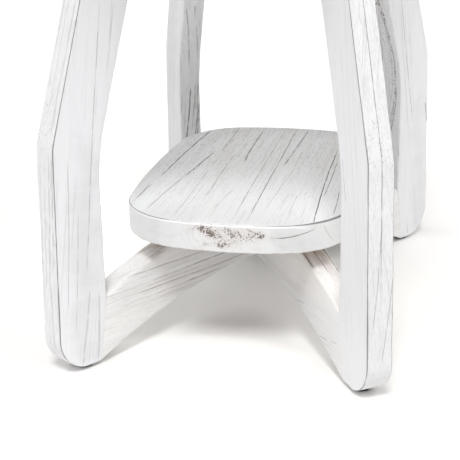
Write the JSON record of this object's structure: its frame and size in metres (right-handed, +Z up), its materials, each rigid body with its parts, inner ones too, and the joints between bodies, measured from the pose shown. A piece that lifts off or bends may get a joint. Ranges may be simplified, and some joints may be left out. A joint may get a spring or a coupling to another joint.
{
  "type": "chairside table",
  "caption": "Chairside table in white-washed wood: a bowed top on kneed diagonal legs, with crossed arched stretchers that carry a rounded lower shelf.",
  "frame": {"origin": "on the floor under the middle of the table", "axes": "+Z up, +X to the right seen from the front, front towards -Y"},
  "size_m": [0.4058, 0.6098, 0.61],
  "materials": {
    "whitewashed_wood": "white-washed and wire-brushed, dark pores showing",
    "dowel_wood": "bare hardwood",
    "screw_steel": "zinc plated",
    "pad_nylon": "moulded nylon"
  },
  "bodies": {
    "root": {"leg_rear_right": "whitewashed_wood", "leg_rear_left": "whitewashed_wood", "leg_front_left": "whitewashed_wood", "leg_front_right": "whitewashed_wood", "stretcher_under": "whitewashed_wood", "stretcher_over": "whitewashed_wood", "rail_under": "whitewashed_wood", "rail_over": "whitewashed_wood", "shelf_board_left": "whitewashed_wood", "shelf_board_middle": "whitewashed_wood", "shelf_board_right": "whitewashed_wood", "top_board_left_outer": "whitewashed_wood", "top_board_left_inner": "whitewashed_wood", "top_board_middle": "whitewashed_wood", "top_board_right_inner": "whitewashed_wood", "top_board_right_outer": "whitewashed_wood", "stretcher_dowels": "dowel_wood", "rail_dowels": "dowel_wood", "shelf_screws": "screw_steel", "top_screws": "screw_steel", "foot_pads": "pad_nylon", "foot_nails": "screw_steel"}
  },
  "joints": []
}
